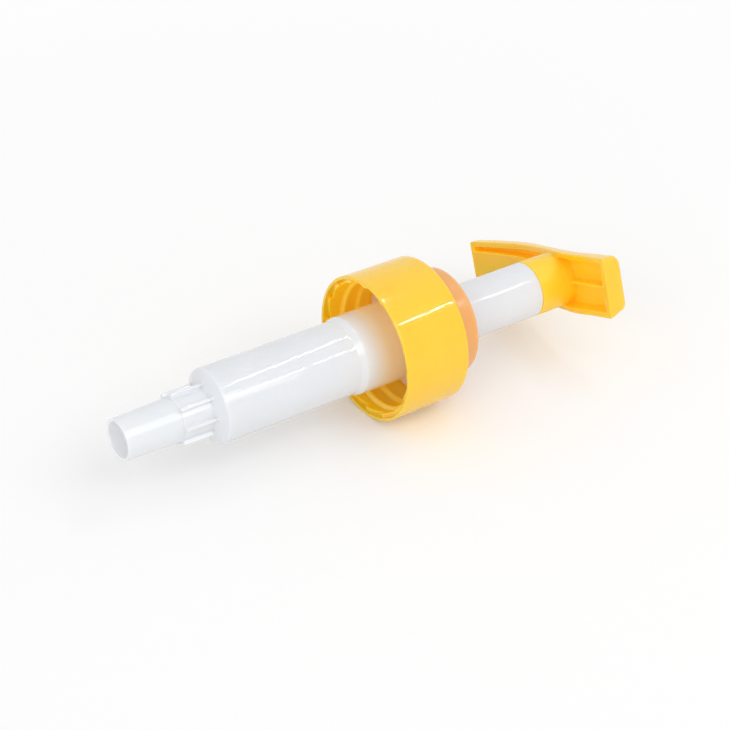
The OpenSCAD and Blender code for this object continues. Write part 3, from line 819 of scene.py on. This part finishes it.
def build_spring():
    """The spring as a round wire, with a closed coil at each end."""
    x0, x1 = low("return_spring")[0], high("return_spring")[0]
    wire_r, coil_r, coils, per_turn, sides = 0.65, 6.73, 9, 40, 16
    first, last = x0 + wire_r, x1 - wire_r
    closed = 2.1 * wire_r
    turns = np.arange(per_turn * coils + 1) / per_turn
    rise = (last - first - 2 * closed) / (coils - 2)
    place = np.select(
        [turns < 1, turns > coils - 1],
        [first + closed * turns, last - closed * (coils - turns)],
        first + closed + rise * (turns - 1))
    turn = 2 * math.pi * turns
    centre = np.stack([place, -coil_r * np.cos(turn), coil_r * np.sin(turn)], -1)
    out = np.stack([0 * turn, -np.cos(turn), np.sin(turn)], -1)
    along = np.gradient(centre, axis=0)
    along /= np.linalg.norm(along, axis=1)[:, None]
    up = np.cross(along, out)
    around = 2 * math.pi * np.arange(sides) / sides
    round_wire = np.cos(around)[None, :, None] * out[:, None] + np.sin(around)[None, :, None] * up[:, None]
    points = (centre[:, None] + wire_r * round_wire).reshape(-1, 3)
    n = len(turns)
    i, j = np.meshgrid(np.arange(n - 1), np.arange(sides), indexing="ij")
    j2 = (j + 1) % sides
    faces = np.stack([i * sides + j, (i + 1) * sides + j, (i + 1) * sides + j2, i * sides + j2], -1)
    caps = []
    k = np.arange(sides)
    for ring, middle in ((0, len(points)), (n - 1, len(points) + 1)):
        caps.append(np.stack([ring * sides + k, ring * sides + (k + 1) % sides, np.full(sides, middle)], -1))
    points = np.concatenate([points, centre[:1], centre[-1:]])
    mesh = bpy.data.meshes.new("spring_wire")
    mesh.from_pydata(
        (points * MM).tolist(), [],
        faces.reshape(-1, 4).tolist() + caps[0][:, ::-1].tolist() + caps[1].tolist())
    mesh.shade_smooth()
    piece = bpy.data.objects.new("spring_wire", mesh)
    bpy.context.scene.collection.objects.link(piece)
    stand_for(piece, "return_spring", "housing", WIRE)
    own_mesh(piece)


# ------------------------------------------------------------------ CAD nodes that keep their own mesh


def finish_node(name, material):
    """A CAD node keeps its mesh and gets a finish; its flat faces stay crisp."""
    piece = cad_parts[name]
    piece.data.materials.clear()
    piece.data.materials.append(material)
    piece.data.shade_smooth()


# ------------------------------------------------------------------ room, lights and camera


BACKGROUND = 0.985


def seen_background(tree):
    """1 for rays that show the background: from the camera, off a glossy surface or through a clear one."""
    path = tree.nodes.new("ShaderNodeLightPath")
    seen = path.outputs["Is Camera Ray"]
    for ray in ("Is Glossy Ray", "Is Transmission Ray"):
        either = node(tree, "ShaderNodeMath", operation="MAXIMUM")
        tree.links.new(seen, either.inputs[0])
        tree.links.new(path.outputs[ray], either.inputs[1])
        seen = either.outputs[0]
    return seen


def build_room():
    """A pale floor that shows the object's shadow and fades to plain white further out."""
    size = 4.0
    mesh = bpy.data.meshes.new("floor")
    mesh.from_pydata(
        [(-size, -size, FLOOR_Z), (size, -size, FLOOR_Z), (size, size, FLOOR_Z), (-size, size, FLOOR_Z)],
        [], [(0, 1, 2, 3)])
    floor = bpy.data.objects.new("floor", mesh)
    bpy.context.scene.collection.objects.link(floor)
    material = bpy.data.materials.new("floor")
    material.use_nodes = True
    tree = material.node_tree
    tree.nodes.clear()
    out = tree.nodes.new("ShaderNodeOutputMaterial")
    paper = node(tree, "ShaderNodeBsdfDiffuse", Color=(0.9, 0.89, 0.88, 1))
    shown = node(tree, "ShaderNodeBsdfDiffuse", Color=(0.87, 0.87, 0.87, 1))
    lift = node(tree, "ShaderNodeEmission", Color=(1, 1, 1, 1), Strength=0.11)
    both = tree.nodes.new("ShaderNodeAddShader")
    tree.links.new(shown.outputs[0], both.inputs[0])
    tree.links.new(lift.outputs[0], both.inputs[1])
    away = node(tree, "ShaderNodeVectorMath", operation="LENGTH")
    tree.links.new(node(tree, "ShaderNodeTexCoord").outputs["Object"], away.inputs[0])
    faded = tree.nodes.new("ShaderNodeMixShader")
    tree.links.new(spread(tree, away.outputs["Value"], 0, 1, 0.11, 0.32), faded.inputs[0])
    tree.links.new(both.outputs[0], faded.inputs[1])
    plain = node(tree, "ShaderNodeEmission", Color=(1, 1, 1, 1), Strength=BACKGROUND)
    tree.links.new(plain.outputs[0], faded.inputs[2])
    mix = tree.nodes.new("ShaderNodeMixShader")
    tree.links.new(seen_background(tree), mix.inputs[0])
    tree.links.new(paper.outputs[0], mix.inputs[1])
    tree.links.new(faded.outputs[0], mix.inputs[2])
    tree.links.new(mix.outputs[0], out.inputs["Surface"])
    floor.data.materials.append(material)


def build_world():
    """An even dome that lights the object, behind a plain pale background."""
    world = bpy.data.worlds.new("studio")
    bpy.context.scene.world = world
    world.use_nodes = True
    tree = world.node_tree
    tree.nodes.clear()
    out = tree.nodes.new("ShaderNodeOutputWorld")
    dome = node(tree, "ShaderNodeBackground", Color=(1, 1, 1, 1), Strength=0.75)
    white = node(tree, "ShaderNodeBackground", Color=(1, 1, 1, 1), Strength=BACKGROUND)
    mix = tree.nodes.new("ShaderNodeMixShader")
    tree.links.new(seen_background(tree), mix.inputs[0])
    tree.links.new(dome.outputs[0], mix.inputs[1])
    tree.links.new(white.outputs[0], mix.inputs[2])
    tree.links.new(mix.outputs[0], out.inputs["Surface"])


def placed(right, up, back, place):
    """The matrix of a lamp or camera at a place, from its three axes."""
    return Matrix((
        (right.x, up.x, back.x, place.x),
        (right.y, up.y, back.y, place.y),
        (right.z, up.z, back.z, place.z),
        (0, 0, 0, 1),
    ))


def area_lamp(name, length, width, power):
    lamp = bpy.data.lights.new(name, "AREA")
    lamp.shape = "RECTANGLE"
    lamp.size, lamp.size_y = length, width
    lamp.energy = power
    holder = bpy.data.objects.new(name, lamp)
    bpy.context.scene.collection.objects.link(holder)
    return holder


def add_soft_box(name, towards, distance, size, power):
    """A square lamp that far away in a direction from the origin, facing it."""
    holder = area_lamp(name, size, size, power)
    place = Vector(towards).normalized() * distance
    holder.location = place
    holder.rotation_euler = (-place).to_track_quat("-Z", "Y").to_euler()


def add_strip(name, start, end, width, power):
    """A long thin lamp between two points, facing the origin."""
    start, end = Vector(start), Vector(end)
    middle, along = (start + end) / 2, (end - start).normalized()
    back = (middle - along * middle.dot(along)).normalized()
    holder = area_lamp(name, (end - start).length, width, power)
    holder.matrix_world = placed(along, back.cross(along), back, middle)


def build_lights():
    """Two soft boxes, and two strips that draw the thin highlights along the pump."""
    add_soft_box("soft_box", (0.15, -0.75, 0.75), 3.5, 2.2, 25)
    add_soft_box("left_fill", (-1.0, -0.5, 0.4), 3.5, 2.5, 26)
    add_strip("strip_high", (0.409, -0.370, 1.067), (0.590, 0.178, 1.022), 0.004, 0.6)
    add_strip("strip_side", (0.379, -0.935, 0.667), (0.740, -0.370, 0.930), 0.004, 0.6)


def build_camera():
    """Looks at the cap's open rim from the front left, a little above."""
    azimuth, elevation = math.radians(-35.03), math.radians(32.26)
    distance, aim_right, aim_up = 0.58364, 0.00032, -0.00435
    level = Vector((-math.sin(azimuth), math.cos(azimuth), 0))
    forward = level * math.cos(elevation) - Vector((0, 0, math.sin(elevation)))
    right = forward.cross(Vector((0, 0, 1))).normalized()
    up = right.cross(forward)
    lens = bpy.data.cameras.new("camera")
    lens.lens, lens.sensor_width = 103.56, 36
    lens.clip_start, lens.clip_end = 0.01, 20
    camera = bpy.data.objects.new("camera", lens)
    rim = Vector((CAP_RIM * MM, 0, 0))
    place = rim - forward * distance + right * aim_right + up * aim_up
    camera.matrix_world = placed(right, up, -forward, place)
    bpy.context.scene.collection.objects.link(camera)
    bpy.context.scene.camera = camera


build_camera()
build_world()
build_lights()
build_room()
build_housing()
build_cap()
build_collar()
build_gasket()
build_stem()
build_head()
build_spring()
for cad_node, finish in (
    ("ball_cage", WHITE), ("piston_retainer", WHITE), ("piston", NATURAL), ("guide_bush", NATURAL),
    ("stem_wiper", WIPER), ("inlet_ball", BALL), ("outlet_ball", BALL),
):
    finish_node(cad_node, finish)

bpy.context.scene.view_settings.view_transform = "Standard"
bpy.context.view_layer.update()
